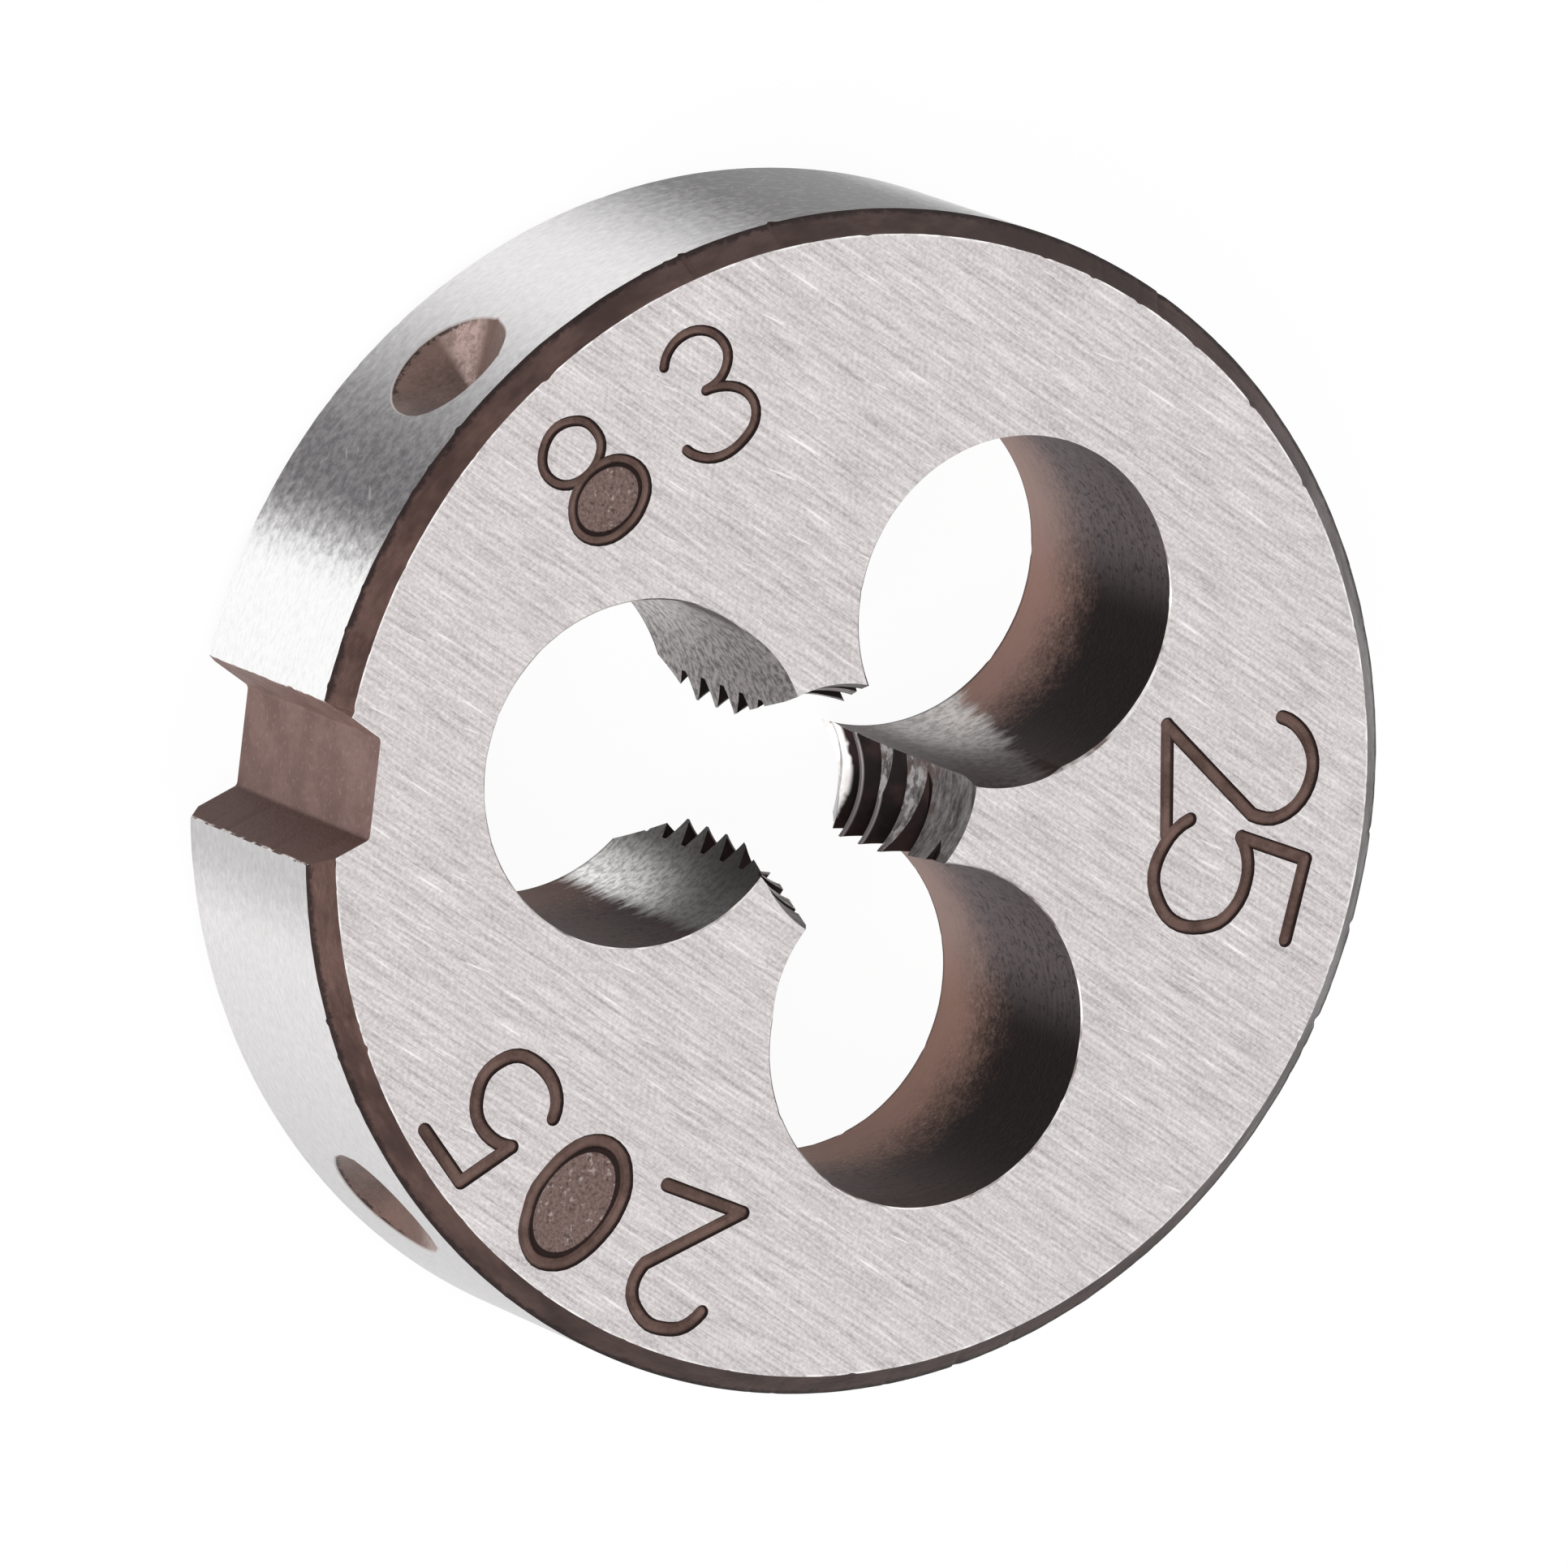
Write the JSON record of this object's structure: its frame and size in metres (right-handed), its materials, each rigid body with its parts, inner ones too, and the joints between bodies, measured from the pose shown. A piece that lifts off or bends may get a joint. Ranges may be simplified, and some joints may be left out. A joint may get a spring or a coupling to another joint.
{
  "type": "round threading die",
  "caption": "Round die that cuts a left-hand metric screw thread on a rod, with chip holes round toothed cutting lands, a notch in its rim and dimples for the screws of a die stock.",
  "frame": {"origin": "centre of the back face, on the axis of the die", "axes": "+Z along the axis, out of the marked face. The notch in the rim faces -Y"},
  "size_m": [0.02, 0.0199, 0.005],
  "materials": {
    "tool_steel": "ground tool steel, with the brown oxide of hardening left in the chip holes, the rim chamfers, the notch, the dimples and the marks"
  },
  "bodies": {
    "root": {"die_body": "tool_steel"}
  },
  "joints": []
}
